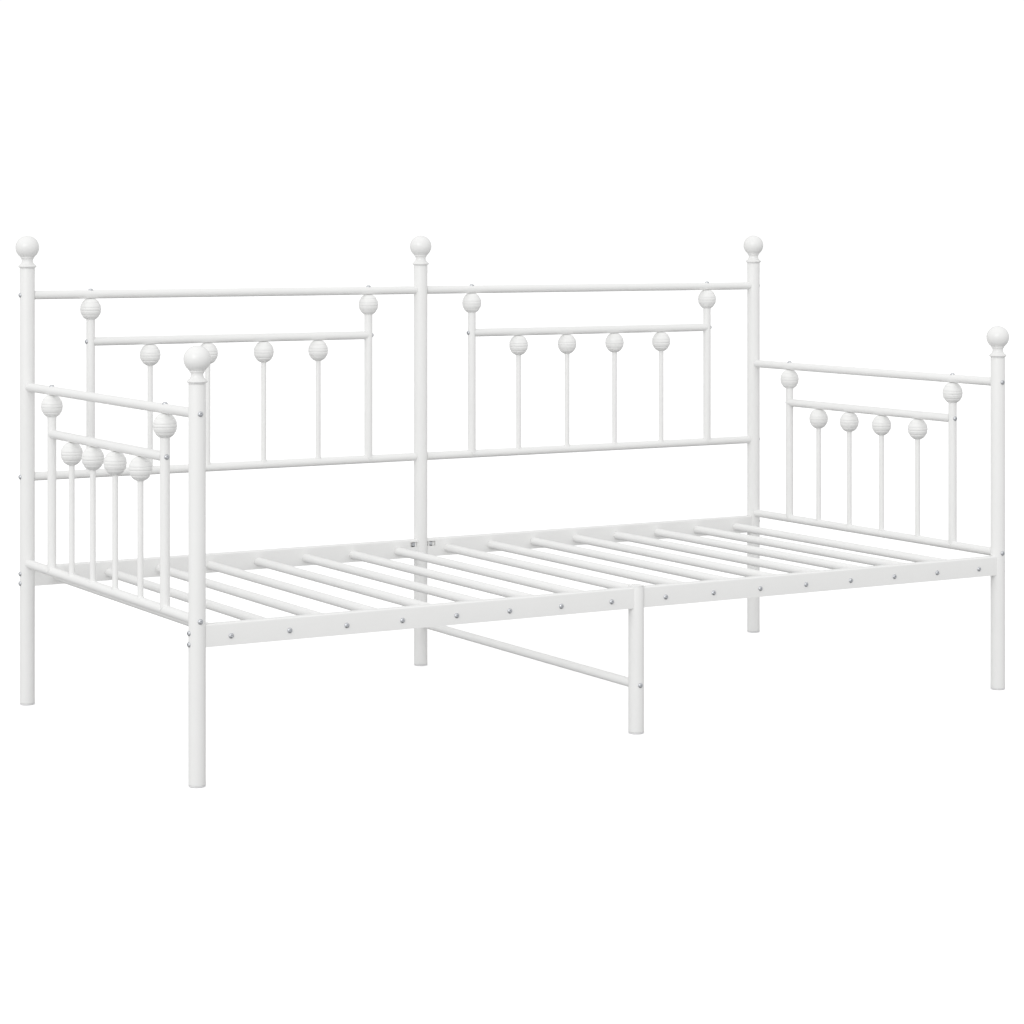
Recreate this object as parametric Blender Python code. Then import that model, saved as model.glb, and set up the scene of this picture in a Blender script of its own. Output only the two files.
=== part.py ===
"""A daybed: a bolted frame of round steel tubes for a 90 x 190 cm mattress.

Metres, +Z up. The bed's length runs along X and its depth along Y, the back panels are at +Y and the open
side is at -Y. The origin is on the floor, under the middle of the bed.
"""

import math

import bmesh
import bpy
from mathutils import Matrix, Vector

# Driving dimensions of the frame: distances between post axes, and heights above the floor.
BED_LENGTH = 1.940
BED_DEPTH = 0.930
REAR_HEIGHT = 1.0178
FRONT_HEIGHT = 0.8155
BACK_TUBE_HEIGHTS = {"top": 0.889, "inner": 0.785, "lower": 0.4945}
ARM_TUBE_HEIGHTS = {"top": 0.6895, "inner": 0.598, "lower": 0.3066}
BRACE_HEIGHT = 0.100
SLAT_HEIGHT = 0.275
RAIL_BOTTOM = 0.2573
RAIL_TOP = 0.2995
MIDDLE_LEG_TOP = 0.301

# Tube sizes: outer radius and wall.
POST_RADIUS = 0.016
POST_WALL = 0.0012
TUBE_RADIUS = 0.0095
TUBE_WALL = 0.0012
SPINDLE_RADIUS = 0.006
SPINDLE_WALL = 0.001

# A threaded bush closes each end of a bolted tube.
BUSH_LENGTH = 0.015
BUSH_BORE = 0.0025

# Balls on the stiles and spindles: pressed shells. The drop is from the tube above to the ball's middle.
BALL_RADIUS = 0.0230
BALL_HALF_HEIGHT = 0.0252
BALL_DROP = 0.0230
BALL_WALL = 0.0015
BALL_STEPS = 5

# Finials, foot plugs and the cap of the middle leg.
FINIAL_HEIGHT = 0.0714
FINIAL_BALL_RADIUS = 0.0253
SPIGOT_LENGTH = 0.020
PLUG_RIM = 0.004
CAP_RISE = 0.003

# Side rails: channels folded from sheet, open below, with a plate welded inside each end.
RAIL_HALF_WIDTH = 0.0103
RAIL_THICKNESS = 0.002
RAIL_BEND = 0.003
PLATE_THICKNESS = 0.003

# A notch in the inner wall, beside the middle leg or post, lets a spanner reach the upper bolt.
NOTCH_BOTTOM = 0.2822
NOTCH_TOP = 0.2935
NOTCH_REACH = 0.034

# Places along a panel, measured from the axis of the post it starts at.
BACK_STILES = (0.145, 0.831)
BACK_SPINDLES = (0.285, 0.424, 0.5625, 0.7005)
ARM_STILES = (0.154, 0.776)
ARM_SPINDLES = (0.278, 0.4115, 0.535, 0.6565)

# Slats, measured from the axis of the end post.
SLATS_PER_HALF = 8
FIRST_SLAT = 0.064
SLAT_PITCH = 0.120

# Pieces that meet keep this gap.
GAP = 0.0003

POST_SIDES = 24
TUBE_SIDES = 16
SPINDLE_SIDES = 12
SLAT_SIDES = 12


def clear_scene():
    for obj in list(bpy.data.objects):
        bpy.data.objects.remove(obj, do_unlink=True)


def material(name, color, roughness, metallic=0.0):
    made = bpy.data.materials.new(name)
    made.use_nodes = True
    shader = made.node_tree.nodes["Principled BSDF"]
    shader.inputs["Base Color"].default_value = (*color, 1.0)
    shader.inputs["Roughness"].default_value = roughness
    shader.inputs["Metallic"].default_value = metallic
    made.diffuse_color = (*color, 1.0)
    return made


def revolve(profile, sides, closed):
    """A bmesh of the (radius, height) profile turned once round Z.

    A closed profile makes a tube. An open one starts and ends on the axis and makes a solid.
    """
    bm = bmesh.new()
    verts = [bm.verts.new((radius, 0.0, height)) for radius, height in profile]
    pairs = list(zip(verts, verts[1:]))
    if closed:
        pairs.append((verts[-1], verts[0]))
    edges = [bm.edges.new(pair) for pair in pairs]
    bmesh.ops.spin(
        bm,
        geom=verts + edges,
        cent=(0.0, 0.0, 0.0),
        axis=(0.0, 0.0, 1.0),
        angle=math.tau,
        steps=sides,
    )
    bmesh.ops.remove_doubles(bm, verts=bm.verts, dist=1e-6)
    bmesh.ops.recalc_face_normals(bm, faces=bm.faces)
    return bm


def add_object(name, bm, slot, parent=None, smooth=True):
    mesh = bpy.data.meshes.new(name)
    bm.to_mesh(mesh)
    bm.free()
    mesh.materials.append(slot)
    if smooth:
        mesh.shade_smooth()
        mesh.set_sharp_from_angle(angle=math.radians(35))
    obj = bpy.data.objects.new(name, mesh)
    bpy.context.scene.collection.objects.link(obj)
    obj.parent = parent
    return obj


def saddle(radius, offset):
    """How far a round surface lies from its own axis, at this sideways offset from the axis."""
    return math.sqrt(radius * radius - offset * offset)


def cross_tube(length, sides, post_radius=None):
    """A tube along X from axis to axis of two upright members, with a threaded bush in each end.

    Each end is cut to the round of the member it meets. With no post_radius the ends are flat.
    """
    inner = TUBE_RADIUS - TUBE_WALL
    face_radii = [TUBE_RADIUS, BUSH_BORE]
    if post_radius:
        face_radii[1:1] = [inner, 0.5 * (inner + BUSH_BORE)]
    profile = [(radius, length) for radius in face_radii]
    profile += [(BUSH_BORE, length - BUSH_LENGTH), (inner, length - BUSH_LENGTH)]
    profile += [(inner, BUSH_LENGTH), (BUSH_BORE, BUSH_LENGTH)]
    profile += [(radius, 0.0) for radius in reversed(face_radii)]
    bm = revolve(profile, sides, closed=True)
    bmesh.ops.rotate(bm, verts=bm.verts, cent=(0, 0, 0), matrix=Matrix.Rotation(math.radians(90), 3, "Y"))
    if post_radius:
        for vert in bm.verts:
            reach = saddle(post_radius + GAP, vert.co.y)
            if vert.co.x < 0.001:
                vert.co.x = reach
            elif vert.co.x < 0.5 * length:
                vert.co.x += post_radius
            elif vert.co.x > length - 0.001:
                vert.co.x = length - reach
            else:
                vert.co.x -= post_radius
    return bm


def ball_arc(center, radius, half_height, low_radius, high_radius, steps):
    """(radius, height) points up the side of a ball, between two radii near its ends."""
    low = -math.acos(low_radius / radius)
    high = math.acos(high_radius / radius)
    angles = [low + (high - low) * step / steps for step in range(steps + 1)]
    return [(radius * math.cos(a), center + half_height * math.sin(a)) for a in angles]


def upright_with_ball(radius, wall, tube_above, bore, sides, foot):
    """A tube with a hollow ball near its top. Its foot is cut to the round of the tube it stands on.

    tube_above is the height of the underside of the tube that the ball meets, bore the hole in the ball's
    flat top, and foot the height where the cut in the foot starts.
    """
    center = tube_above - BALL_DROP
    rise = BALL_DROP - GAP
    top_radius = BALL_RADIUS * math.sqrt(1.0 - (rise / BALL_HALF_HEIGHT) ** 2)
    outside = ball_arc(center, BALL_RADIUS, BALL_HALF_HEIGHT, radius, top_radius, BALL_STEPS)
    shell_radius = BALL_RADIUS - BALL_WALL
    shell_half_height = BALL_HALF_HEIGHT - BALL_WALL
    shell_top = shell_radius * math.sqrt(1.0 - ((rise - BALL_WALL) / shell_half_height) ** 2)
    inside = ball_arc(center, shell_radius, shell_half_height, radius - wall, shell_top, BALL_STEPS - 1)
    profile = [(radius, foot)] + outside
    profile += [(bore, center + rise), (bore, center + rise - BALL_WALL)]
    profile += inside[::-1] + [(radius - wall, foot)]
    bm = revolve(profile, sides, closed=True)
    for vert in bm.verts:
        if vert.co.z < foot + 0.0005:
            offset = min(abs(vert.co.y), TUBE_RADIUS - 0.0002)
            vert.co.z = foot - TUBE_RADIUS + saddle(TUBE_RADIUS, offset)
    return bm


def add_panel(name, corner, turn, length, heights, stiles, spindles, stile_names, slots):
    """One panel between two posts: top, inner and lower tube, two stiles and a comb of spindles.

    The panel is built along its own X axis from the first post, with its own Z axis upright.
    """
    holder = bpy.data.objects.new(name, None)
    bpy.context.scene.collection.objects.link(holder)
    holder.location = (corner[0], corner[1], 0.0)
    holder.rotation_euler = (0.0, 0.0, turn)

    top = add_object(name + "_top_tube", cross_tube(length, TUBE_SIDES, POST_RADIUS), slots["steel"], holder)
    top.location.z = heights["top"]

    span = stiles[1] - stiles[0]
    inner = add_object(name + "_inner_tube", cross_tube(span, TUBE_SIDES, TUBE_RADIUS), slots["steel"], holder)
    inner.location = (stiles[0], 0.0, heights["inner"])

    under_top = heights["top"] - TUBE_RADIUS
    under_inner = heights["inner"] - TUBE_RADIUS
    over_lower = heights["lower"] + TUBE_RADIUS
    for stile_name, along in zip(stile_names, stiles):
        bm = upright_with_ball(TUBE_RADIUS, TUBE_WALL, under_top, BUSH_BORE, TUBE_SIDES, over_lower + GAP)
        stile = add_object(name + "_" + stile_name, bm, slots["steel"], holder)
        stile.location.x = along

    rods = bmesh.new()
    rod_bore = SPINDLE_RADIUS - SPINDLE_WALL
    rod_foot = over_lower - 0.5 * TUBE_WALL
    for along in spindles:
        rod = upright_with_ball(SPINDLE_RADIUS, SPINDLE_WALL, under_inner, rod_bore, SPINDLE_SIDES, rod_foot)
        bmesh.ops.translate(rod, verts=rod.verts, vec=(along, 0.0, 0.0))
        piece = bpy.data.meshes.new("rod")
        rod.to_mesh(piece)
        rod.free()
        rods.from_mesh(piece)
        bpy.data.meshes.remove(piece)
    helper = add_object(name + "_rods_helper", rods, slots["steel"], holder)
    helper.hide_render = True
    helper.display_type = "WIRE"

    bm = cross_tube(length, TUBE_SIDES, POST_RADIUS)
    bmesh.ops.translate(bm, verts=bm.verts, vec=(0.0, 0.0, heights["lower"]))
    comb = add_object(name + "_spindle_comb", bm, slots["steel"], holder)
    weld = comb.modifiers.new("weld", "BOOLEAN")
    weld.operation = "UNION"
    weld.solver = "EXACT"
    weld.object = helper


def add_post(name, place, bottom, top, slots):
    inner = POST_RADIUS - POST_WALL
    profile = [(POST_RADIUS, bottom), (POST_RADIUS, top), (inner, top), (inner, bottom)]
    post = add_object(name, revolve(profile, POST_SIDES, closed=True), slots["steel"])
    post.location = (place[0], place[1], 0.0)


def add_finial(name, place, base, slots):
    """Ball, bead, neck, cove and collar, with a spigot that presses into the open top of the post."""
    spigot = POST_RADIUS - POST_WALL - GAP
    center = FINIAL_HEIGHT - FINIAL_BALL_RADIUS
    profile = [
        (0.0, -SPIGOT_LENGTH),
        (spigot, -SPIGOT_LENGTH),
        (spigot, GAP),
        (0.0155, GAP),
        (0.0174, 0.0012),
        (0.0191, 0.0049),
        (0.0188, 0.0064),
        (0.0172, 0.0084),
        (0.0146, 0.0105),
        (0.0124, 0.0154),
        (0.0116, 0.0174),
        (0.0132, 0.0214),
        (0.0162, 0.0250),
        (0.0176, 0.0276),
    ]
    profile += ball_arc(center, FINIAL_BALL_RADIUS, FINIAL_BALL_RADIUS, 0.0181, 0.0001, 7)[:-1]
    profile.append((0.0, FINIAL_HEIGHT))
    finial = add_object(name, revolve(profile, TUBE_SIDES, closed=False), slots["plastic"])
    finial.location = (place[0], place[1], base)


def add_plug(name, place, slots):
    """A foot plug: a rim under the end of the tube and a spigot inside it."""
    spigot = POST_RADIUS - POST_WALL - GAP
    profile = [
        (0.0, 0.0),
        (POST_RADIUS - 0.002, 0.0),
        (POST_RADIUS, 0.002),
        (POST_RADIUS, PLUG_RIM - GAP),
        (spigot, PLUG_RIM - GAP),
        (spigot, PLUG_RIM + SPIGOT_LENGTH),
        (0.0, PLUG_RIM + SPIGOT_LENGTH),
    ]
    plug = add_object(name, revolve(profile, POST_SIDES, closed=False), slots["plug"])
    plug.location = (place[0], place[1], 0.0)


def add_leg_cap(name, place, top, slots):
    spigot = POST_RADIUS - POST_WALL - GAP
    profile = [
        (0.0, -SPIGOT_LENGTH),
        (spigot, -SPIGOT_LENGTH),
        (spigot, GAP),
        (POST_RADIUS, GAP),
        (POST_RADIUS, 0.0015),
        (0.0115, CAP_RISE - 0.0004),
        (0.0, CAP_RISE),
    ]
    cap = add_object(name, revolve(profile, POST_SIDES, closed=False), slots["plastic"])
    cap.location = (place[0], place[1], top)


def box_mesh(low, high):
    bm = bmesh.new()
    size = Vector(high) - Vector(low)
    middle = (Vector(high) + Vector(low)) / 2
    bmesh.ops.create_cube(bm, size=1.0, matrix=Matrix.Translation(middle) @ Matrix.Diagonal((*size, 1.0)))
    return bm


def channel_path(half_width, top, bend):
    """Points over an upside-down U, from the foot of one wall to the foot of the other, as (across, up)."""
    quarter = [math.radians(angle) for angle in (0, 30, 60, 90)]
    corner = [(half_width - bend + bend * math.cos(a), top - bend + bend * math.sin(a)) for a in quarter]
    crown = [(0.005, top), (0.0025, top)]
    side = [(half_width, RAIL_BOTTOM)] + corner + crown
    return side + [(0.0, top)] + [(-across, up) for across, up in reversed(side)]


def add_rail(name, near_middle, span, inward, slots):
    """One half of a side rail: a channel from post axis to post axis along X, cut to the round of the posts.

    The channel is built round its own length. Its first end is the one at the middle leg or post.
    """
    outer = channel_path(RAIL_HALF_WIDTH, RAIL_TOP, RAIL_BEND)
    inner = channel_path(RAIL_HALF_WIDTH - RAIL_THICKNESS, RAIL_TOP - RAIL_THICKNESS, RAIL_BEND - RAIL_THICKNESS)
    bm = bmesh.new()
    ends = []
    for axis, sign in ((0.0, 1.0), (span, -1.0)):
        ends.append(
            [
                [bm.verts.new((axis + sign * (saddle(POST_RADIUS, across) + GAP), across, up)) for across, up in path]
                for path in (outer, inner)
            ]
        )
    (outer_near, inner_near), (outer_far, inner_far) = ends
    strips = [(outer_near, outer_far), (inner_far, inner_near), (inner_near, outer_near), (outer_far, inner_far)]
    for first, second in strips:
        for low in range(len(outer) - 1):
            bm.faces.new([first[low], first[low + 1], second[low + 1], second[low]])
    for foot in (0, -1):
        bm.faces.new([outer_near[foot], outer_far[foot], inner_far[foot], inner_near[foot]])
    bmesh.ops.recalc_face_normals(bm, faces=bm.faces)

    plate_half_width = RAIL_HALF_WIDTH - 0.5 * RAIL_THICKNESS
    cuts = []
    for low in (POST_RADIUS + GAP, span - POST_RADIUS - GAP - PLATE_THICKNESS):
        plate = box_mesh(
            (low, -plate_half_width, RAIL_BOTTOM + 0.001),
            (low + PLATE_THICKNESS, plate_half_width, RAIL_TOP - 0.5 * RAIL_THICKNESS),
        )
        cuts.append(("UNION", plate))
    wall = sorted((inward * (RAIL_HALF_WIDTH - RAIL_THICKNESS - 0.0008), inward * (RAIL_HALF_WIDTH + 0.004)))
    notch = box_mesh((0.005, wall[0], NOTCH_BOTTOM), (NOTCH_REACH, wall[1], NOTCH_TOP))
    cuts.append(("DIFFERENCE", notch))

    rail = add_object(name, bm, slots["steel"], smooth=False)
    for number, (operation, helper_bm) in enumerate(cuts):
        helper = add_object(f"{name}_helper_{number}", helper_bm, slots["steel"], rail, smooth=False)
        helper.hide_render = True
        helper.display_type = "WIRE"
        step = rail.modifiers.new(f"step_{number}", "BOOLEAN")
        step.operation = operation
        step.solver = "EXACT"
        step.object = helper
    rail.location = (near_middle[0], near_middle[1], 0.0)
    return rail


def add_slat(name, along, slots):
    inside = BED_DEPTH / 2 - RAIL_HALF_WIDTH - GAP
    bm = cross_tube(2 * inside, SLAT_SIDES)
    slat = add_object(name, bm, slots["steel"])
    slat.rotation_euler.z = math.radians(90)
    slat.location = (along, -inside, SLAT_HEIGHT)


def main():
    clear_scene()
    slots = {
        "steel": material("white_powder_coated_steel", (0.80, 0.80, 0.80), 0.42),
        "plastic": material("white_moulded_plastic", (0.82, 0.82, 0.82), 0.32),
        "plug": material("grey_moulded_plastic", (0.68, 0.68, 0.69), 0.50),
    }
    half_length = BED_LENGTH / 2
    half_depth = BED_DEPTH / 2
    rear_posts = {"left": -half_length, "middle": 0.0, "right": half_length}
    front_posts = {"left": -half_length, "right": half_length}

    for side, x in rear_posts.items():
        top = REAR_HEIGHT - FINIAL_HEIGHT
        add_post(f"rear_{side}_post", (x, half_depth), PLUG_RIM, top, slots)
        add_finial(f"rear_{side}_finial", (x, half_depth), top, slots)
        add_plug(f"rear_{side}_foot_plug", (x, half_depth), slots)
    for side, x in front_posts.items():
        top = FRONT_HEIGHT - FINIAL_HEIGHT
        add_post(f"front_{side}_post", (x, -half_depth), PLUG_RIM, top, slots)
        add_finial(f"front_{side}_finial", (x, -half_depth), top, slots)
        add_plug(f"front_{side}_foot_plug", (x, -half_depth), slots)
    add_post("front_middle_leg", (0.0, -half_depth), PLUG_RIM, MIDDLE_LEG_TOP, slots)
    add_leg_cap("front_middle_leg_cap", (0.0, -half_depth), MIDDLE_LEG_TOP, slots)
    add_plug("front_middle_foot_plug", (0.0, -half_depth), slots)

    for side, y in (("front", -half_depth), ("rear", half_depth)):
        # The left rail is turned half round, so its inner wall lies the other way in its own frame.
        inward = 1.0 if y < 0.0 else -1.0
        add_rail(f"{side}_right_rail", (0.0, y), half_length, inward, slots)
        left = add_rail(f"{side}_left_rail", (0.0, y), half_length, -inward, slots)
        left.rotation_euler.z = math.pi

    for number in range(SLATS_PER_HALF):
        reach = half_length - FIRST_SLAT - number * SLAT_PITCH
        add_slat(f"left_slat_{number + 1}", -reach, slots)
        add_slat(f"right_slat_{number + 1}", reach, slots)

    brace = add_object("cross_brace", cross_tube(BED_DEPTH, TUBE_SIDES, POST_RADIUS), slots["steel"])
    brace.rotation_euler.z = math.radians(90)
    brace.location = (0.0, -half_depth, BRACE_HEIGHT)

    back_names = ("end_stile", "middle_stile")
    arm_names = ("front_stile", "rear_stile")
    for name, x, turn in (("back_left", -half_length, 0.0), ("back_right", half_length, math.pi)):
        add_panel(
            name, (x, half_depth), turn, half_length, BACK_TUBE_HEIGHTS, BACK_STILES, BACK_SPINDLES,
            back_names, slots,
        )
    for name, x in (("left_arm", -half_length), ("right_arm", half_length)):
        add_panel(
            name, (x, -half_depth), math.radians(90), BED_DEPTH, ARM_TUBE_HEIGHTS, ARM_STILES,
            ARM_SPINDLES, arm_names, slots,
        )


main()
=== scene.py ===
import math

import bmesh
import bpy
from mathutils import Matrix, Vector


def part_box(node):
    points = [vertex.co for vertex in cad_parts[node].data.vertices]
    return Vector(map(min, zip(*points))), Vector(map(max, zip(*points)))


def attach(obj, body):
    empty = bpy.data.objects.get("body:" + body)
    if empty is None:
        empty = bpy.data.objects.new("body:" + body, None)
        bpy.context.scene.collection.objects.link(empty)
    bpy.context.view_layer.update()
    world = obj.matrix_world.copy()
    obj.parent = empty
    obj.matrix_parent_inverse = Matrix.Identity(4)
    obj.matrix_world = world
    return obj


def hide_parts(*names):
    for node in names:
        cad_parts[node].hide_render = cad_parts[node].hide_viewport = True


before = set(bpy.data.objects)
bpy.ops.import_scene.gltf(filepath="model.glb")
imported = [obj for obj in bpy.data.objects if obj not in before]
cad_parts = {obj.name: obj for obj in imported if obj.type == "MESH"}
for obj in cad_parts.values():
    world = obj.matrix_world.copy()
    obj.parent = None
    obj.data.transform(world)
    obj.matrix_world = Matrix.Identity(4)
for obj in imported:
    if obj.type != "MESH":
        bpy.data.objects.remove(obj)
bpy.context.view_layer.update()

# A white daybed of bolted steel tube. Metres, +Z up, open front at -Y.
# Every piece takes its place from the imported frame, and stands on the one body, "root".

MM = 0.001
STEEL = "white_powder_coated_steel"
MOULDED = "white_moulded_plastic"
PLUGS = "grey_moulded_plastic"

# Stock and fits.
POST_WALL = 1.2 * MM
TUBE_WALL = 1.2 * MM
SPINDLE_RADIUS = 6.0 * MM
SPINDLE_WALL = 1.0 * MM
FIT = 0.3 * MM
SAWN_EDGE = 0.4 * MM
BUSH_BORE = 2.5 * MM
BUSH_DEPTH = 15.0 * MM
SPIGOT_LENGTH = 20.0 * MM

# The turned balls. Each groove is (height above the middle, depth).
BALL_RADIUS = 23.0 * MM
BALL_HALF_HEIGHT = 25.2 * MM
BALL_DROP = 23.0 * MM
BALL_GROOVES = ((3.4 * MM, 0.9 * MM), (-3.4 * MM, 0.9 * MM), (13.5 * MM, 1.0 * MM), (-13.5 * MM, 1.0 * MM))
GROOVE_WIDTH = 0.9 * MM

# Where the spindles stand, from the axis of the post that each panel starts at.
BACK_SPINDLES = (0.285, 0.424, 0.5625, 0.7005)
ARM_SPINDLES = (0.278, 0.4115, 0.535, 0.6565)

# Rails folded from sheet, with a plate welded inside each end.
RAIL_THICKNESS = 2.0 * MM
RAIL_BEND = 3.0 * MM
PLATE_THICKNESS = 3.0 * MM

# Rail bolts at the end posts and at the middle ones, as heights above the lower edge of the rail.
END_BOLTS = (6.2 * MM, 27.0 * MM)
MIDDLE_BOLTS = (9.2 * MM, 30.5 * MM)

# The notch that lets a spanner reach the upper bolt: its two heights above the lower edge, how far along
# it starts and ends, and how its corners are eased.
NOTCH = (24.9 * MM, 36.2 * MM)
NOTCH_START = 5.0 * MM
NOTCH_REACH = 34.0 * MM
NOTCH_EASING = 0.8 * MM

# The strip behind the notch: its two faces from the middle of the rail, where it starts beyond the plate,
# and how far it laps past the notch, up and down and then along.
STRIP_FACES = (5.2 * MM, 6.2 * MM)
STRIP_START = 8.6 * MM
STRIP_LAP = 2.0 * MM
STRIP_END_LAP = 5.0 * MM

# Foot plugs: the rim under the tube, and the ribs on the spigot inside it.
PLUG_RIM = 4.0 * MM
PLUG_HOLLOW = 1.6 * MM
RIB_PITCH = 4.4 * MM
RIB_RISE = 0.8 * MM


# ---- Finishes -----------------------------------------------------------------------------------


def linear(hex_colour):
    """The linear RGBA of an sRGB hex value such as "#EDEDEC"."""
    values = [int(hex_colour[at:at + 2], 16) / 255 for at in (1, 3, 5)]
    turned_linear = [v / 12.92 if v <= 0.04045 else ((v + 0.055) / 1.055) ** 2.4 for v in values]
    return (*turned_linear, 1.0)


def per_metre(millimetres):
    """The texture scale at which a pattern repeats about once in this many millimetres."""
    return 1.0 / (millimetres * MM)


def add_node(tree, kind, settings, links=()):
    """Adds one node. Settings are (name or socket, value); links are (socket, another node's output)."""
    made = tree.nodes.new(kind)
    for name, value in settings:
        if isinstance(name, int) or name in made.inputs:
            made.inputs[name].default_value = value
        else:
            setattr(made, name, value)
    for name, source in links:
        tree.links.new(source, made.inputs[name])
    return made


def start_finish(name):
    """A new material: its node tree, its shader and coordinates in metres on the piece."""
    made = bpy.data.materials.new(name)
    made.use_nodes = True
    tree = made.node_tree
    place = add_node(tree, "ShaderNodeTexCoord", []).outputs["Object"]
    return made, tree, tree.nodes["Principled BSDF"], place


def tone_between(tree, place, millimetres, first, second):
    """A colour that drifts between two tones over this distance."""
    drift = add_node(
        tree, "ShaderNodeTexNoise", [("Scale", per_metre(millimetres)), ("Detail", 3.0)], [("Vector", place)]
    )
    mix = add_node(
        tree,
        "ShaderNodeMix",
        [("data_type", "RGBA"), (6, linear(first)), (7, linear(second))],
        [(0, drift.outputs["Fac"])],
    )
    return mix.outputs[2]


def gloss_between(tree, place, millimetres, low, high):
    """A roughness that drifts between two values over this distance."""
    drift = add_node(
        tree, "ShaderNodeTexNoise", [("Scale", per_metre(millimetres)), ("Detail", 4.0)], [("Vector", place)]
    )
    spread = add_node(
        tree,
        "ShaderNodeMapRange",
        [("From Min", 0.3), ("From Max", 0.7), ("To Min", low), ("To Max", high)],
        [("Value", drift.outputs["Fac"])],
    )
    return spread.outputs["Result"]


def grain(tree, place, millimetres, height, detail=2.0, under=None):
    """Fine relief of this spacing and height, over any coarser relief that lies under it."""
    settings = [("Scale", per_metre(millimetres)), ("Detail", detail)]
    noise = add_node(tree, "ShaderNodeTexNoise", settings, [("Vector", place)])
    links = [("Height", noise.outputs["Fac"])]
    if under is not None:
        links.append(("Normal", under))
    bump = add_node(tree, "ShaderNodeBump", [("Distance", height), ("Strength", 1.0)], links)
    return bump.outputs["Normal"]


def polyester_powder_coat_on_steel():
    """White polyester powder, sprayed on blasted steel and baked.

    It flows into a closed, slightly rippled skin, so highlights are soft and their edges waver a little.
    """
    made, tree, shader, place = start_finish("polyester_powder_coat_on_steel")
    # Orange peel is 1 to 2 mm across and 10 microns high.
    # It is drawn at 4 mm and 25 microns so that it shows.
    ripple = grain(tree, place, 4.0, 0.025 * MM)
    skin = grain(tree, place, 1.2, 0.004 * MM, under=ripple)
    tree.links.new(tone_between(tree, place, 70.0, "#F2F2F1", "#EDEDEC"), shader.inputs["Base Color"])
    tree.links.new(gloss_between(tree, place, 25.0, 0.30, 0.38), shader.inputs["Roughness"])
    tree.links.new(skin, shader.inputs["Normal"])
    shader.inputs["IOR"].default_value = 1.52
    return made


def injection_moulded_white_abs():
    """White ABS from a polished mould: a smooth, even gloss, with faint flow marks from the gate."""
    made, tree, shader, place = start_finish("injection_moulded_white_abs")
    # Flow marks are some 8 mm apart and a few microns high.
    flow = grain(tree, place, 8.0, 0.020 * MM, detail=1.0)
    # The polish leaves a grain under 0.1 mm, drawn at 0.8 mm.
    polish = grain(tree, place, 0.8, 0.002 * MM, under=flow)
    tree.links.new(tone_between(tree, place, 30.0, "#F0F0EF", "#ECECEB"), shader.inputs["Base Color"])
    tree.links.new(gloss_between(tree, place, 12.0, 0.16, 0.22), shader.inputs["Roughness"])
    tree.links.new(polish, shader.inputs["Normal"])
    shader.inputs["IOR"].default_value = 1.53
    return made


def injection_moulded_grey_polyethylene():
    """Pale grey polyethylene from a spark-eroded mould: matt, a little waxy, with a fine even grain."""
    made, tree, shader, place = start_finish("injection_moulded_grey_polyethylene")
    # The eroded grain is 0.2 mm, drawn at 0.6 mm.
    eroded = grain(tree, place, 0.6, 0.02 * MM, detail=3.0)
    tree.links.new(tone_between(tree, place, 6.0, "#E8E8E8", "#E2E2E3"), shader.inputs["Base Color"])
    tree.links.new(gloss_between(tree, place, 4.0, 0.48, 0.60), shader.inputs["Roughness"])
    tree.links.new(eroded, shader.inputs["Normal"])
    shader.inputs["IOR"].default_value = 1.51
    return made


def zinc_plated_steel():
    """Cold-headed steel screws, barrel-plated in zinc: satin silver, with small knocks from the barrel."""
    made, tree, shader, place = start_finish("zinc_plated_steel")
    # Knocks are 1 mm or so apart, and the plating's own grain is 0.2 mm.
    knocks = grain(tree, place, 1.4, 0.02 * MM)
    plating = grain(tree, place, 0.3, 0.004 * MM, detail=3.0, under=knocks)
    tree.links.new(tone_between(tree, place, 3.0, "#D4D6D9", "#C6C8CC"), shader.inputs["Base Color"])
    tree.links.new(gloss_between(tree, place, 1.5, 0.30, 0.44), shader.inputs["Roughness"])
    tree.links.new(plating, shader.inputs["Normal"])
    shader.inputs["Metallic"].default_value = 1.0
    return made


FINISHES = {
    STEEL: polyester_powder_coat_on_steel(),
    MOULDED: injection_moulded_white_abs(),
    PLUGS: injection_moulded_grey_polyethylene(),
    "zinc": zinc_plated_steel(),
}


# ---- Ways of making a piece ---------------------------------------------------------------------


def eased(corners, loop=False):
    """An outline through (across, up, easing) corners, each one rounded off by its easing."""
    outline = []
    last = len(corners) - 1
    for number, (across, up, easing) in enumerate(corners):
        here = Vector((across, up))
        if easing == 0.0 or (not loop and number in (0, last)):
            outline.append(here)
            continue
        before = Vector(corners[number - 1][:2]) - here
        after = Vector(corners[(number + 1) % len(corners)][:2]) - here
        reach = min(easing, 0.48 * before.length, 0.48 * after.length)
        start = here + before.normalized() * reach
        end = here + after.normalized() * reach
        for step in range(5):
            t = step / 4
            outline.append(start * (1 - t) ** 2 + here * 2 * t * (1 - t) + end * t ** 2)
    return outline


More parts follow.
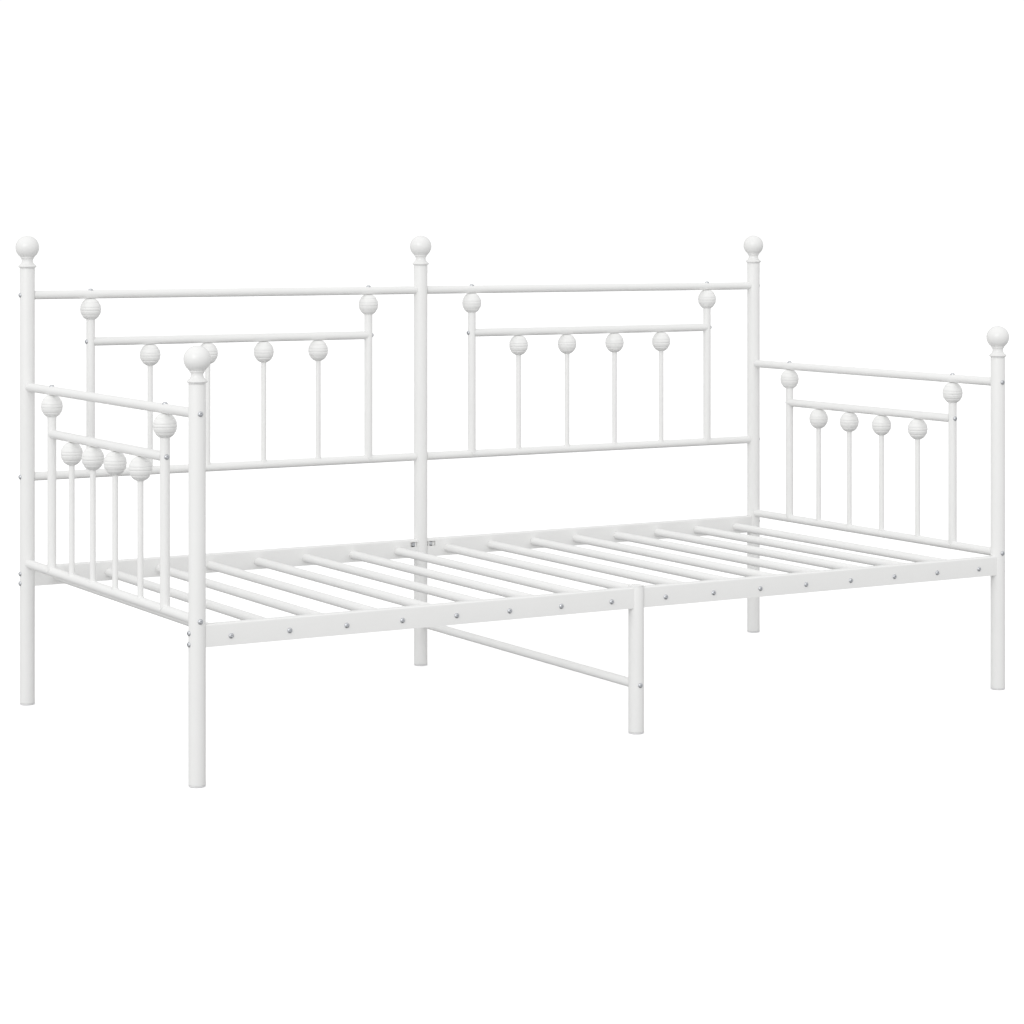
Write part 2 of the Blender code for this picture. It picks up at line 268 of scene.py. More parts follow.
def turned(outline, turns=64, tube=False, seam=0.0):
    """A mesh of (radius, height) points turned round Z. A tube's outline closes on itself.

    A seam stands this proud up two opposite sides, where the halves of a mould met.
    """
    angles = [(math.tau * step / turns, 0.0) for step in range(turns)]
    if seam:
        lips = [(side + lip, 0.0) for side in (0.0, math.pi) for lip in (-0.018, 0.018)]
        angles = [(angle, seam if angle in (0.0, math.pi) else 0.0) for angle, _ in angles] + lips
        angles = sorted((angle % math.tau, lift) for angle, lift in angles)
    bm = bmesh.new()
    rows = []
    for radius, height in outline:
        if radius < 1e-6:
            rows.append([bm.verts.new((0.0, 0.0, height))])
            continue
        rows.append(
            [
                bm.verts.new(((radius + lift) * math.cos(angle), (radius + lift) * math.sin(angle), height))
                for angle, lift in angles
            ]
        )
    pairs = list(zip(rows, rows[1:])) + ([(rows[-1], rows[0])] if tube else [])
    for low, high in pairs:
        for at in range(len(angles)):
            after = (at + 1) % len(angles)
            foot = [low[at % len(low)], low[after % len(low)]]
            corners = foot + [high[after % len(high)], high[at % len(high)]]
            kept = [vert for number, vert in enumerate(corners) if vert not in corners[:number]]
            if len(kept) > 2:
                bm.faces.new(kept)
    bmesh.ops.recalc_face_normals(bm, faces=bm.faces)
    return bm


def lay_along_x(bm):
    """Turns a piece made round Z so that it lies along X."""
    bmesh.ops.rotate(bm, verts=bm.verts, cent=(0, 0, 0), matrix=Matrix.Rotation(math.radians(90), 3, "Y"))
    return bm


def saddle(radius, offset):
    """How far a round surface lies from its own axis, at this sideways offset."""
    return math.sqrt(max(radius * radius - offset * offset, 0.0))


def joined(meshes):
    """One mesh that holds all of these."""
    whole = bmesh.new()
    for bm in meshes:
        part = bpy.data.meshes.new("part")
        bm.to_mesh(part)
        bm.free()
        whole.from_mesh(part)
        bpy.data.meshes.remove(part)
    return whole


def moved(bm, place):
    """The same mesh, carried to this place."""
    bmesh.ops.transform(bm, matrix=place, verts=bm.verts)
    return bm


def add_piece(name, bm, finish, place=None, stands_for=None, crease=35.0):
    """Makes the object, gives it its finish and its place, and hides the plain solid that it stands for."""
    mesh = bpy.data.meshes.new(name)
    bm.to_mesh(mesh)
    bm.free()
    mesh.materials.append(FINISHES[finish])
    mesh.shade_smooth()
    mesh.set_sharp_from_angle(angle=math.radians(crease))
    piece = bpy.data.objects.new(name, mesh)
    bpy.context.scene.collection.objects.link(piece)
    if place is not None:
        piece.matrix_world = place
    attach(piece, "root")
    if stands_for:
        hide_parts(stands_for)
    return piece


def middle(node):
    """The middle of a node's box."""
    low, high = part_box(node)
    return (low + high) / 2


def half_height(node):
    """Half the height of a node's box, which is the radius of a tube that lies level."""
    low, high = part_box(node)
    return (high.z - low.z) / 2


def half_width(node):
    """Half the width of a node's box along X, which is the radius of an upright tube."""
    low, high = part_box(node)
    return (high.x - low.x) / 2


def upright_at(node, height=0.0):
    """The place on the axis of an upright node, at this height."""
    at = middle(node)
    return Matrix.Translation((at.x, at.y, height))


# ---- Posts, feet and finials --------------------------------------------------------------------


def add_post(node):
    """A 32 mm post: cut tube with its sawn edges dressed."""
    low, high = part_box(node)
    radius = half_width(node)
    inside = radius - POST_WALL
    length = high.z - low.z
    corners = [
        (radius, 0.0, SAWN_EDGE),
        (radius, length, SAWN_EDGE),
        (inside, length, SAWN_EDGE),
        (inside, 0.0, SAWN_EDGE),
    ]
    tube = turned(eased(corners, loop=True), turns=72, tube=True)
    add_piece(f"{node}_tube", tube, STEEL, upright_at(node, low.z), node)


def finial_ball(centre, radius, low_radius):
    """Points up a ball, from this radius near its foot to its crown."""
    first = -math.acos(low_radius / radius)
    angles = [first + (math.pi / 2 - first) * step / 28 for step in range(29)]
    return [(radius * math.cos(angle), centre + radius * math.sin(angle)) for angle in angles]


def add_finial(node):
    """A ball on a thin bead, a coved neck and a collar that springs a little above the top of the post.

    The two halves of the mould met along a fine seam.
    """
    low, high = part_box(node)
    base = low.z + SPIGOT_LENGTH
    height = high.z - base
    radius = half_width(node)
    spigot = 14.5 * MM
    neck = [
        (0.0, -SPIGOT_LENGTH, 0.0),
        (spigot, -SPIGOT_LENGTH, 1.0 * MM),
        (spigot, FIT, 0.0),
        (15.8 * MM, FIT, 0.2 * MM),
        (15.8 * MM, 2.2 * MM, 0.4 * MM),
        (18.6 * MM, 3.3 * MM, 0.6 * MM),
        (19.3 * MM, 4.8 * MM, 0.8 * MM),
        (18.9 * MM, 6.4 * MM, 1.0 * MM),
        (15.4 * MM, 9.0 * MM, 1.6 * MM),
        (12.8 * MM, 12.0 * MM, 2.4 * MM),
        (11.4 * MM, 16.9 * MM, 2.2 * MM),
        (12.0 * MM, 20.6 * MM, 1.2 * MM),
        (13.6 * MM, 22.4 * MM, 0.6 * MM),
        (14.6 * MM, 23.6 * MM, 0.6 * MM),
        (14.4 * MM, 25.2 * MM, 0.4 * MM),
        (15.6 * MM, 26.0 * MM, 0.2 * MM),
    ]
    outline = eased(neck)[:-1] + [Vector(neck[-1][:2])]
    outline += [Vector(point) for point in finial_ball(height - radius, radius, 16.4 * MM)]
    outline[-1].x = 0.0
    ball = turned(outline, turns=72, seam=0.15 * MM)
    add_piece(f"{node}_moulding", ball, MOULDED, upright_at(node, base), node)


def add_foot_plug(node):
    """A rim under the tube and a ribbed spigot inside it. The underside is hollowed behind a flat ring."""
    low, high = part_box(node)
    radius = half_width(node)
    rim = PLUG_RIM - FIT
    spigot = radius - POST_WALL - FIT
    valley = spigot - RIB_RISE
    corners = [
        (0.0, PLUG_HOLLOW, 0.0),
        (8.5 * MM, PLUG_HOLLOW, 0.5 * MM),
        (9.5 * MM, 0.0, 0.4 * MM),
        (radius - 1.2 * MM, 0.0, 0.5 * MM),
        (radius, 1.2 * MM, 0.5 * MM),
        (radius, rim, 0.3 * MM),
        (valley, rim, 0.0),
    ]
    for step in range(4):
        foot = rim + 2.0 * MM + RIB_PITCH * step
        corners += [
            (valley, foot, 0.0),
            (spigot, foot + 0.6 * MM, 0.2 * MM),
            (spigot, foot + 1.6 * MM, 0.2 * MM),
            (valley, foot + 2.2 * MM, 0.0),
        ]
    corners += [(valley, high.z, 0.8 * MM), (0.0, high.z, 0.0)]
    add_piece(f"{node}_moulding", turned(eased(corners), turns=72), PLUGS, upright_at(node), node)


def add_leg_cap(node):
    """A low domed cap pressed into the middle leg."""
    low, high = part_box(node)
    radius = half_width(node)
    base = low.z + SPIGOT_LENGTH
    spigot = radius - POST_WALL - FIT
    rise = high.z - base
    corners = [
        (0.0, -SPIGOT_LENGTH, 0.0),
        (spigot, -SPIGOT_LENGTH, 1.0 * MM),
        (spigot, FIT, 0.0),
        (radius, FIT, 0.2 * MM),
        (radius, 1.6 * MM, 1.0 * MM),
        (0.72 * radius, rise - 0.4 * MM, 3.0 * MM),
        (0.3 * radius, rise, 3.0 * MM),
        (0.0, rise, 0.0),
    ]
    add_piece(f"{node}_moulding", turned(eased(corners), turns=72), MOULDED, upright_at(node, base), node)


# ---- Tubes, spindles and balls ------------------------------------------------------------------


def bushed_tube(length, radius, wall, coped_to=None):
    """A tube along X from one member's axis to the next, with a threaded bush set in each end.

    Its ends are cut to the round of what they meet, or left square.
    """
    inside = radius - wall
    corners = []
    for end, inward in ((0.0, 1.0), (length, -1.0)):
        side = [
            (inside, end + inward * BUSH_DEPTH, 0.0),
            (BUSH_BORE, end + inward * BUSH_DEPTH, 0.0),
            (BUSH_BORE, end, 0.3 * MM),
            (inside, end, 0.0),
            (radius, end, SAWN_EDGE),
            (radius, end + inward * 4.0 * MM, 0.0),
        ]
        corners += side if inward > 0 else side[::-1]
    bm = lay_along_x(turned(eased(corners, loop=True), turns=48, tube=True))
    if coped_to:
        for vert in bm.verts:
            reach = saddle(coped_to + FIT, vert.co.y)
            vert.co.x += reach if vert.co.x < 0.5 * length else -reach
    return bm


def cut_upright(radius, wall, stands_on, axis_height, top, turns=48):
    """A tube round Z. Its foot is cut to the round of the tube that it stands on."""
    inside = radius - wall
    corners = [(radius, 0.0, 0.0), (radius, 2.0 * MM, 0.0), (radius, top - axis_height, SAWN_EDGE)]
    corners += [(inside, top - axis_height, SAWN_EDGE), (inside, 2.0 * MM, 0.0), (inside, 0.0, 0.0)]
    bm = turned(eased(corners, loop=True), turns=turns, tube=True)
    for vert in bm.verts:
        if vert.co.z < 3.0 * MM:
            vert.co.z += saddle(stands_on + FIT, vert.co.y)
        vert.co.z += axis_height
    return bm


def grooved_ball(tube_radius, centre, rise):
    """A ball turned with two pairs of grooves, bored for its tube, its crown cut flat at this rise."""
    fine = (-2.2, -1.5, -1.05, -0.7, -0.35, 0.0, 0.35, 0.7, 1.05, 1.5, 2.2)
    heights = {BALL_HALF_HEIGHT * math.sin(math.radians(angle)) for angle in range(-84, 84, 4)}
    heights = {h for h in heights if min(abs(h - at) for at, _ in BALL_GROOVES) > 2.6 * MM}
    heights |= {at + step * MM for at, _ in BALL_GROOVES for step in fine}
    foot = -BALL_HALF_HEIGHT * math.sqrt(1.0 - (tube_radius / BALL_RADIUS) ** 2)
    outline = []
    for height in sorted(h for h in heights if foot < h < rise - 0.6 * MM):
        radius = BALL_RADIUS * math.sqrt(1.0 - (height / BALL_HALF_HEIGHT) ** 2)
        cut = sum(depth * math.exp(-(((height - at) / GROOVE_WIDTH) ** 2)) for at, depth in BALL_GROOVES)
        outline.append((radius - cut, height, 0.0))
    crown = BALL_RADIUS * math.sqrt(1.0 - (rise / BALL_HALF_HEIGHT) ** 2)
    bore = tube_radius + 0.05 * MM
    corners = [(bore, foot + 1.0 * MM, 0.0), (bore, foot, 0.0)] + outline
    corners += [(crown, rise, 0.3 * MM), (BUSH_BORE, rise, 0.0)]
    corners += [(BUSH_BORE, rise - 2.0 * MM, 0.0), (bore, rise - 2.0 * MM, 0.0)]
    bm = turned(eased(corners, loop=True), turns=64, tube=True)
    return moved(bm, Matrix.Translation((0.0, 0.0, centre)))


def weld_round_foot(radius, stands_on, axis_height):
    """The fillet weld round the foot of an upright, laid in small overlapping pools."""
    bm = bmesh.new()
    around, across = 72, 10
    rows = []
    for step in range(around):
        angle = math.tau * step / around
        size = (1.25 + 0.12 * math.cos(18 * angle)) * MM
        reach = radius + 0.3 * MM
        side = reach * math.sin(angle)
        centre = Vector((reach * math.cos(angle), side, axis_height + saddle(stands_on, side) + 0.2 * MM))
        outward = Vector((math.cos(angle), math.sin(angle), 0.0))
        ring = []
        for turn in range(across):
            tilt = math.tau * turn / across
            rise = Vector((0, 0, size * math.sin(tilt)))
            ring.append(bm.verts.new(centre + outward * size * math.cos(tilt) + rise))
        rows.append(ring)
    for at in range(around):
        here, after = rows[at], rows[(at + 1) % around]
        for turn in range(across):
            beyond = (turn + 1) % across
            bm.faces.new([here[turn], after[turn], after[beyond], here[beyond]])
    bmesh.ops.recalc_face_normals(bm, faces=bm.faces)
    return bm


def panel_place(first_post, last_post):
    """The place of a panel, with its own X axis running from the first post to the last, and its length."""
    start, end = middle(first_post), middle(last_post)
    run = Vector((end.x - start.x, end.y - start.y))
    place = Matrix.Translation((start.x, start.y, 0.0)) @ Matrix.Rotation(math.atan2(run.y, run.x), 4, "Z")
    return place, run.length


def add_panel(name, first_post, last_post, stile_names, spindles):
    """Top and inner tube, two stiles, a comb of spindles on the lower tube, their balls and their welds."""
    place, length = panel_place(first_post, last_post)
    post_radius = half_width(first_post)
    top_node, inner_node, comb_node = f"{name}_top_tube", f"{name}_inner_tube", f"{name}_spindle_comb"
    tube_radius = half_height(top_node)
    top_axis, inner_axis = middle(top_node).z, middle(inner_node).z
    lower_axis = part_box(comb_node)[0].z + tube_radius
    stiles = [(place.inverted() @ middle(f"{name}_{stile}")).x for stile in stile_names]

    def at(along, height):
        return place @ Matrix.Translation((along, 0.0, height))

    top = bushed_tube(length, tube_radius, TUBE_WALL, post_radius)
    add_piece(f"{top_node}_coated", top, STEEL, at(0.0, top_axis), top_node)
    inner = bushed_tube(stiles[1] - stiles[0], tube_radius, TUBE_WALL, tube_radius)
    add_piece(f"{inner_node}_coated", inner, STEEL, at(stiles[0], inner_axis), inner_node)
    lower = bushed_tube(length, tube_radius, TUBE_WALL, post_radius)
    add_piece(f"{name}_lower_tube_coated", lower, STEEL, at(0.0, lower_axis), comb_node)

    welds = []
    for stile, along in zip(stile_names, stiles):
        centre = top_axis - tube_radius - BALL_DROP
        tube = cut_upright(tube_radius, TUBE_WALL, tube_radius, lower_axis, centre)
        add_piece(f"{name}_{stile}_tube", tube, STEEL, at(along, 0.0), f"{name}_{stile}")
        ball = grooved_ball(tube_radius, 0.0, BALL_DROP - FIT)
        add_piece(f"{name}_{stile}_ball", ball, STEEL, at(along, centre))
        weld = weld_round_foot(tube_radius, tube_radius, lower_axis)
        welds.append(moved(weld, Matrix.Translation((along, 0.0, 0.0))))
    for number, along in enumerate(spindles, 1):
        centre = inner_axis - tube_radius - BALL_DROP
        rod = cut_upright(SPINDLE_RADIUS, SPINDLE_WALL, tube_radius, lower_axis, centre, turns=40)
        add_piece(f"{name}_spindle_{number}_tube", rod, STEEL, at(along, 0.0))
        ball = grooved_ball(SPINDLE_RADIUS, 0.0, BALL_DROP - FIT)
        add_piece(f"{name}_spindle_{number}_ball", ball, STEEL, at(along, centre))
        weld = weld_round_foot(SPINDLE_RADIUS, tube_radius, lower_axis)
        welds.append(moved(weld, Matrix.Translation((along, 0.0, 0.0))))
    add_piece(f"{name}_foot_welds", joined(welds), STEEL, place)

    # One screw down through the top tube into each stile, and one through each stile into the inner tube.
    crests = [Matrix.Translation((along, 0.0, top_axis + tube_radius)) for along in stiles]
    sides = [
        Matrix.Translation((along + out * tube_radius, 0.0, inner_axis)) @ heading((out, 0.0, 0.0))
        for along, out in zip(stiles, (-1.0, 1.0))
    ]
    add_fasteners(f"{name}_stile_screws", button_head, crests + sides, place, tube_radius)

    # One screw through the end post into the top and the lower tube. Arm panels end at two end posts.
    ends = [(0.0, -1.0)] + ([(length, 1.0)] if last_post != "rear_middle_post" else [])
    bolts = [
        Matrix.Translation((along + out * post_radius, 0.0, height)) @ heading((out, 0.0, 0.0))
        for along, out in ends
        for height in (top_axis, lower_axis)
    ]
    add_fasteners(f"{name}_post_screws", button_head, bolts, place, post_radius)


# ---- Screws and nuts ----------------------------------------------------------------------------


def heading(direction):
    """The turn that points a screw's head this way."""
    return Vector(direction).to_track_quat("Z", "Y").to_matrix().to_4x4()


def ringed(rings, turns=36):
    """A closed mesh of rings round Z, each (size, height, whether it is a hexagon).

    The size is a radius, or half the width across the flats.
    """
    bm = bmesh.new()
    rows = []
    for size, height, six_sided in rings:
        row = []
        for step in range(turns):
            angle = math.tau * step / turns
            radius = size
            if six_sided:
                radius = size / math.cos((angle + math.pi / 6) % (math.pi / 3) - math.pi / 6)
            row.append(bm.verts.new((radius * math.cos(angle), radius * math.sin(angle), height)))
        rows.append(row)
    for low, high in zip(rows, rows[1:]):
        for at in range(turns):
            after = (at + 1) % turns
            bm.faces.new([low[at], low[after], high[after], high[at]])
    bm.faces.new(rows[0][::-1])
    bm.faces.new(rows[-1])
    bmesh.ops.recalc_face_normals(bm, faces=bm.faces)
    return bm


def button_head(surface_radius):
    """An M6 button head with a 4 mm hexagon socket. Its skirt reaches down to the round of the tube."""
    radius = 5.25 * MM
    skirt = surface_radius - saddle(surface_radius, radius) if surface_radius else 0.0
    sizes = [
        (5.25, -skirt / MM, False),
        (5.25, 0.45, False),
        (5.15, 0.85, False),
        (4.80, 1.50, False),
        (4.25, 2.15, False),
        (3.55, 2.72, False),
        (2.95, 3.05, False),
        (2.55, 3.18, False),
        (2.12, 3.18, True),
        (2.00, 3.02, True),
        (2.00, 1.10, True),
        (0.60, 0.70, False),
    ]
    return ringed([(size * MM, height * MM, six) for size, height, six in sizes])


def long_screw(_surface_radius):
    """The same head on a shank that crosses the hollow rail to the bush in a slat."""
    head = button_head(0.0)
    shank = ringed([(2.7 * MM, -20.6 * MM, False), (3.0 * MM, -20.2 * MM, False), (3.0 * MM, 0.0, False)])
    return joined([head, shank])


def hexagon_head(_surface_radius):
    """An M8 hexagon head on its washer."""
    sizes = [
        (8.00, 0.00, False),
        (8.00, 1.40, False),
        (7.80, 1.60, False),
        (6.50, 1.60, True),
        (6.50, 6.50, True),
        (6.10, 7.10, False),
    ]
    return ringed([(size * MM, height * MM, six) for size, height, six in sizes])


def nut_on_bolt_end(_surface_radius):
    """An M8 nut on its washer, with a good length of the bolt standing out of it."""
    sizes = [
        (8.00, 0.00, False),
        (8.00, 1.40, False),
        (7.80, 1.60, False),
        (6.50, 1.60, True),
        (6.50, 7.40, True),
        (6.10, 8.10, False),
        (4.20, 8.10, False),
        (4.00, 7.90, False),
        (4.00, 14.40, False),
        (3.40, 15.00, False),
    ]
    return ringed([(size * MM, height * MM, six) for size, height, six in sizes])


def bolt_tip(_surface_radius):
    """The end of an M6 bolt, where it comes through a tapped plate."""
    return ringed([(3.0 * MM, 0.0, False), (3.0 * MM, 4.4 * MM, False), (2.5 * MM, 4.9 * MM, False)])


def add_fasteners(name, make, seats, place, surface_radius):
    """A row of like screws or nuts, one on each seat."""
    heads = [moved(make(surface_radius), seat) for seat in seats]
    add_piece(name, joined(heads), "zinc", place, crease=28.0)


# ---- Rails, slats and brace ---------------------------------------------------------------------


def eased_block(low, high, easing):
    """A flat plate with its edges eased."""
    bm = bmesh.new()
    size = Vector(high) - Vector(low)
    centre = (Vector(high) + Vector(low)) / 2
    bmesh.ops.create_cube(bm, size=1.0, matrix=Matrix.Translation(centre) @ Matrix.Diagonal((*size, 1.0)))
    bmesh.ops.bevel(bm, geom=bm.edges[:], offset=easing, segments=2, profile=0.5, affect="EDGES")
    return bm


def channel_walls(half_width, low, top, bend):
    """Points over an upside-down U, from the foot of one wall to the foot of the other, as (across, up)."""
    turn = [math.radians(angle) for angle in range(0, 91, 15)]
    corner = [(half_width - bend + bend * math.cos(a), top - bend + bend * math.sin(a)) for a in turn]
    side = [(half_width, low)] + corner + [(5.0 * MM, top), (2.5 * MM, top)]
    return side + [(0.0, top)] + [(-across, up) for across, up in reversed(side)]


def folded_channel(span, post_radius, half_width, low, top):
    """A channel of sheet along X between two post axes, each end cut to the round of its post."""
    paths = (
        channel_walls(half_width, low, top, RAIL_BEND),
        channel_walls(half_width - RAIL_THICKNESS, low, top - RAIL_THICKNESS, RAIL_BEND - RAIL_THICKNESS),
    )
    bm = bmesh.new()
    rows = []
    for axis, along in ((0.0, 1.0), (span, -1.0)):
        for path in paths:
            reach = [saddle(post_radius, across) + FIT for across, _ in path]
            rows.append([bm.verts.new((axis + along * r, *point)) for r, point in zip(reach, path)])
    outer_near, inner_near, outer_far, inner_far = rows
    walls = [(outer_near, outer_far), (inner_far, inner_near)]
    strips = walls + [(inner_near, outer_near), (outer_far, inner_far)]
    for first, second in strips:
        for at in range(len(first) - 1):
            bm.faces.new([first[at], first[at + 1], second[at + 1], second[at]])
    for foot in (0, -1):
        bm.faces.new([outer_near[foot], outer_far[foot], inner_far[foot], inner_near[foot]])
    bmesh.ops.recalc_face_normals(bm, faces=bm.faces)
    return bm


def cut_out(bm, block):
    """What is left of one mesh when another is cut out of it."""
    holders = []
    for shape in (bm, block):
        mesh = bpy.data.meshes.new("blank")
        shape.to_mesh(mesh)
        shape.free()
        holders.append(bpy.data.objects.new("blank", mesh))
        bpy.context.scene.collection.objects.link(holders[-1])
    cut = holders[0].modifiers.new("cut", "BOOLEAN")
    cut.operation = "DIFFERENCE"
    cut.solver = "EXACT"
    cut.object = holders[1]
    bpy.context.view_layer.update()
    left = holders[0].evaluated_get(bpy.context.evaluated_depsgraph_get())
    result = bmesh.new()
    result.from_mesh(left.to_mesh())
    left.to_mesh_clear()
    for holder in holders:
        mesh = holder.data
        bpy.data.objects.remove(holder)
        bpy.data.meshes.remove(mesh)
    return result


def add_rail(node, middle_post, end_post):
    """Half of a side rail: a channel folded from sheet, open below, with its plates and its bolts.

    It is made along its own X axis, from the axis of the middle post to the axis of the end one.
    """
    low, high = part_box(node)
    near, far = middle(middle_post), middle(end_post)
    post_radius = half_width(middle_post)
    half = (high.y - low.y) / 2
    span = abs(far.x - near.x)
    along = math.copysign(1.0, far.x - near.x)
    inward = math.copysign(1.0, -near.y * along)
    place = Matrix.Translation((near.x, near.y, 0.0))
    if along < 0.0:
        place = place @ Matrix.Rotation(math.pi, 4, "Z")

    channel = folded_channel(span, post_radius, half, low.z, high.z)
    across = sorted((inward * (half - RAIL_THICKNESS - NOTCH_EASING), inward * (half + 4.0 * MM)))
    corner = (NOTCH_START, across[0], low.z + NOTCH[0])
    notch = eased_block(corner, (NOTCH_REACH, across[1], low.z + NOTCH[1]), NOTCH_EASING)
    add_piece(f"{node}_channel", cut_out(channel, notch), STEEL, place, node)

    plate_half = half - RAIL_THICKNESS - FIT
    near_seat = post_radius + FIT + PLATE_THICKNESS
    far_seat = span - near_seat
    plates = [
        eased_block((start, -plate_half, low.z + MM), (end, plate_half, high.z - RAIL_THICKNESS), 0.35 * MM)
        for start, end in ((near_seat - PLATE_THICKNESS, near_seat), (far_seat, far_seat + PLATE_THICKNESS))
    ]
    strip = sorted(inward * face for face in STRIP_FACES)
    start = (near_seat + STRIP_START, strip[0], low.z + NOTCH[0] - STRIP_LAP)
    end = (NOTCH_REACH + STRIP_END_LAP, strip[1], low.z + NOTCH[1] + STRIP_LAP)
    plates.append(eased_block(start, end, 0.2 * MM))
    add_piece(f"{node}_plates", joined(plates), STEEL, place)

    # At the end post the bolts screw into the plate. At the middle one they pass through both rails, with the
    # heads in the left rail and the nuts in the right one.
    def seats(from_axis, heights, out=1.0):
        turn = heading((out, 0.0, 0.0))
        return [Matrix.Translation((from_axis, 0.0, low.z + up)) @ turn for up in heights]

    outside = seats(span + post_radius, END_BOLTS)
    add_fasteners(f"{node}_end_bolts", button_head, outside, place, post_radius)
    add_fasteners(f"{node}_end_bolt_tips", bolt_tip, seats(far_seat, END_BOLTS, -1.0), place, 0.0)
    held = hexagon_head if along < 0.0 else nut_on_bolt_end
    add_fasteners(f"{node}_middle_bolts", held, seats(near_seat, MIDDLE_BOLTS), place, 0.0)


def add_slat(node):
    """A 19 mm tube across the bed, square-ended, between the inner walls of the two rails."""
    low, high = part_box(node)
    radius = half_height(node)
    tube = bushed_tube(high.y - low.y, radius, TUBE_WALL)
    at = middle(node)
    place = Matrix.Translation((at.x, low.y, at.z)) @ Matrix.Rotation(math.radians(90), 4, "Z")
    add_piece(f"{node}_tube", tube, STEEL, place, node)


def add_slat_screws(side, outward):
    """The screws through one side's rails into the ends of all the slats."""
    face = max(abs(corner.y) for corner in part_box(f"{side}_left_rail"))
    seats = []
    for half in ("left", "right"):
        for number in range(1, 9):
            at = middle(f"{half}_slat_{number}")
            seats.append(Matrix.Translation((at.x, outward * face, at.z)) @ heading((0.0, outward, 0.0)))
    add_fasteners(f"{side}_slat_screws", long_screw, seats, None, 0.0)


def add_brace(node, front_post, rear_post):
    """The tube near the floor that ties the two middle legs, and its two screws."""
    place, length = panel_place(front_post, rear_post)
    radius, post_radius = half_height(node), half_width(front_post)
    height = middle(node).z
    tube = bushed_tube(length, radius, TUBE_WALL, post_radius)
    add_piece(f"{node}_tube", tube, STEEL, place @ Matrix.Translation((0.0, 0.0, height)), node)
    seats = [
        Matrix.Translation((along, 0.0, height)) @ heading((out, 0.0, 0.0))
        for along, out in ((-post_radius, -1.0), (length + post_radius, 1.0))
    ]
    add_fasteners(f"{node}_screws", button_head, seats, place, post_radius)


# ---- The bed ------------------------------------------------------------------------------------


def build_bed():
    nodes = sorted(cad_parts)
    for node in nodes:
        if node.endswith("_post") or node == "front_middle_leg":
            add_post(node)
        elif node.endswith("_finial"):
            add_finial(node)
        elif node.endswith("_foot_plug"):
            add_foot_plug(node)
        elif node.endswith("_leg_cap"):
            add_leg_cap(node)
        elif "_slat_" in node:
            add_slat(node)
    back_stiles, arm_stiles = ("end_stile", "middle_stile"), ("front_stile", "rear_stile")
    add_panel("back_left", "rear_left_post", "rear_middle_post", back_stiles, BACK_SPINDLES)
    add_panel("back_right", "rear_right_post", "rear_middle_post", back_stiles, BACK_SPINDLES)
    add_panel("left_arm", "front_left_post", "rear_left_post", arm_stiles, ARM_SPINDLES)
    add_panel("right_arm", "front_right_post", "rear_right_post", arm_stiles, ARM_SPINDLES)
    add_rail("front_left_rail", "front_middle_leg", "front_left_post")
    add_rail("front_right_rail", "front_middle_leg", "front_right_post")
    add_rail("rear_left_rail", "rear_middle_post", "rear_left_post")
    add_rail("rear_right_rail", "rear_middle_post", "rear_right_post")
    add_slat_screws("front", -1.0)
    add_slat_screws("rear", 1.0)
    add_brace("cross_brace", "front_middle_leg", "rear_middle_post")


# ---- Studio -------------------------------------------------------------------------------------


def build_camera():
    """A level camera at waist height, off the left front corner, with its view shifted down to the bed."""
    lens = bpy.data.cameras.new("camera")
    lens.sensor_width = 36.0
    lens.lens = 87.22
    lens.shift_x = -0.0008
    lens.shift_y = -0.2714
    camera = bpy.data.objects.new("camera", lens)
    camera.location = (-2.78989, -4.71763, 1.02161)
    camera.rotation_euler = (math.radians(90.0), 0.0, math.radians(-30.421))
    bpy.context.scene.collection.objects.link(camera)
    bpy.context.scene.camera = camera


def build_floor():
    """A wide white floor that glows a little, so that it reads as plain white."""
    bm = bmesh.new()
    bmesh.ops.create_circle(bm, cap_ends=True, segments=96, radius=60.0)
    mesh = bpy.data.meshes.new("floor")
    bm.to_mesh(mesh)
    bm.free()
    finish = bpy.data.materials.new("white_studio_floor")
    finish.use_nodes = True
    shader = finish.node_tree.nodes["Principled BSDF"]
    shader.inputs["Base Color"].default_value = linear("#F0F0F0")
    shader.inputs["Roughness"].default_value = 0.9
    shader.inputs["Specular IOR Level"].default_value = 0.0
    shader.inputs["Emission Color"].default_value = linear("#FFFFFF")
    shader.inputs["Emission Strength"].default_value = 0.35
    mesh.materials.append(finish)
    floor = bpy.data.objects.new("floor", mesh)
    floor.location.z = -0.2 * MM
    bpy.context.scene.collection.objects.link(floor)
    # The floor neither lights nor shades the bed, whose undersides keep their shade over the white.
    floor.visible_diffuse = False
    floor.visible_glossy = False
    floor.visible_shadow = False


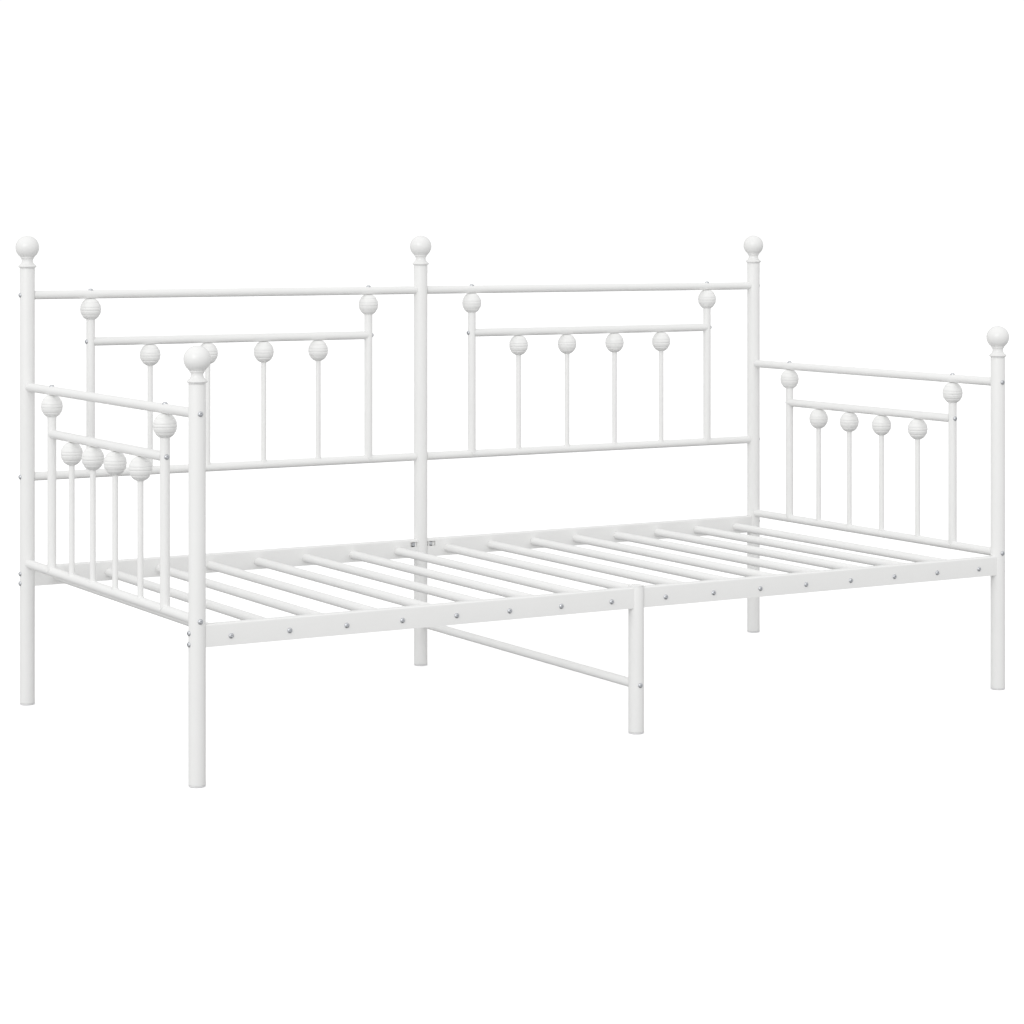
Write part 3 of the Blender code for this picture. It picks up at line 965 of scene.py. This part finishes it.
def build_room(key, mean, swing, floor_shade):
    """Soft light from all round, strongest from up and to the left, in front of a plain white ground.

    It is darkened straight below, so that the undersides of the tubes are shaded.
    """
    world = bpy.data.worlds.new("room")
    bpy.context.scene.world = world
    world.use_nodes = True
    tree = world.node_tree
    tree.nodes.clear()
    place = add_node(tree, "ShaderNodeTexCoord", []).outputs["Generated"]
    towards = add_node(
        tree, "ShaderNodeVectorMath", [("operation", "DOT_PRODUCT"), (1, key)], [(0, place)]
    ).outputs["Value"]
    level = add_node(
        tree, "ShaderNodeMath", [("operation", "MULTIPLY_ADD"), (1, swing), (2, mean)], [(0, towards)]
    ).outputs["Value"]
    upward = add_node(tree, "ShaderNodeSeparateXYZ", [], [(0, place)]).outputs["Z"]
    downward = add_node(
        tree, "ShaderNodeMath", [("operation", "MULTIPLY"), (1, -1.0), ("use_clamp", True)], [(0, upward)]
    ).outputs["Value"]
    narrowed = add_node(tree, "ShaderNodeMath", [("operation", "POWER"), (1, 3.0)], [(0, downward)])
    shaded = add_node(
        tree,
        "ShaderNodeMath",
        [("operation", "MULTIPLY_ADD"), (1, -floor_shade)],
        [(0, narrowed.outputs["Value"]), (2, level)],
    ).outputs["Value"]
    room = add_node(tree, "ShaderNodeBackground", [], [("Strength", shaded)])
    ground = add_node(tree, "ShaderNodeBackground", [("Strength", 1.05)])
    seen = add_node(tree, "ShaderNodeLightPath", []).outputs["Is Camera Ray"]
    both = add_node(
        tree, "ShaderNodeMixShader", [], [(0, seen), (1, room.outputs[0]), (2, ground.outputs[0])]
    )
    for background in (room, ground):
        background.inputs["Color"].default_value = linear("#FFFFFF")
    add_node(tree, "ShaderNodeOutputWorld", [], [("Surface", both.outputs[0])])


def add_softbox(name, place, aim, size, watts):
    """A square lamp at this place, turned to this aim."""
    light = bpy.data.lights.new(name, "AREA")
    light.shape = "SQUARE"
    light.size = size
    light.energy = watts
    holder = bpy.data.objects.new(name, light)
    holder.location = place
    holder.rotation_euler = (Vector(aim) - Vector(place)).to_track_quat("-Z", "Y").to_euler()
    bpy.context.scene.collection.objects.link(holder)


build_bed()
build_camera()
build_floor()
build_room(key=Vector((-0.40, -0.24, 0.885)).normalized(), mean=0.755, swing=0.335, floor_shade=0.50)
add_softbox("softbox", (-12.4, -9.2, 6.6), (0.0, 0.0, 0.5), 8.0, 420.0)
add_softbox("small_lamp", (-3.6, -6.9, 4.2), (0.0, 0.0, 0.5), 0.6, 20.0)
bpy.context.scene.view_settings.view_transform = "Standard"
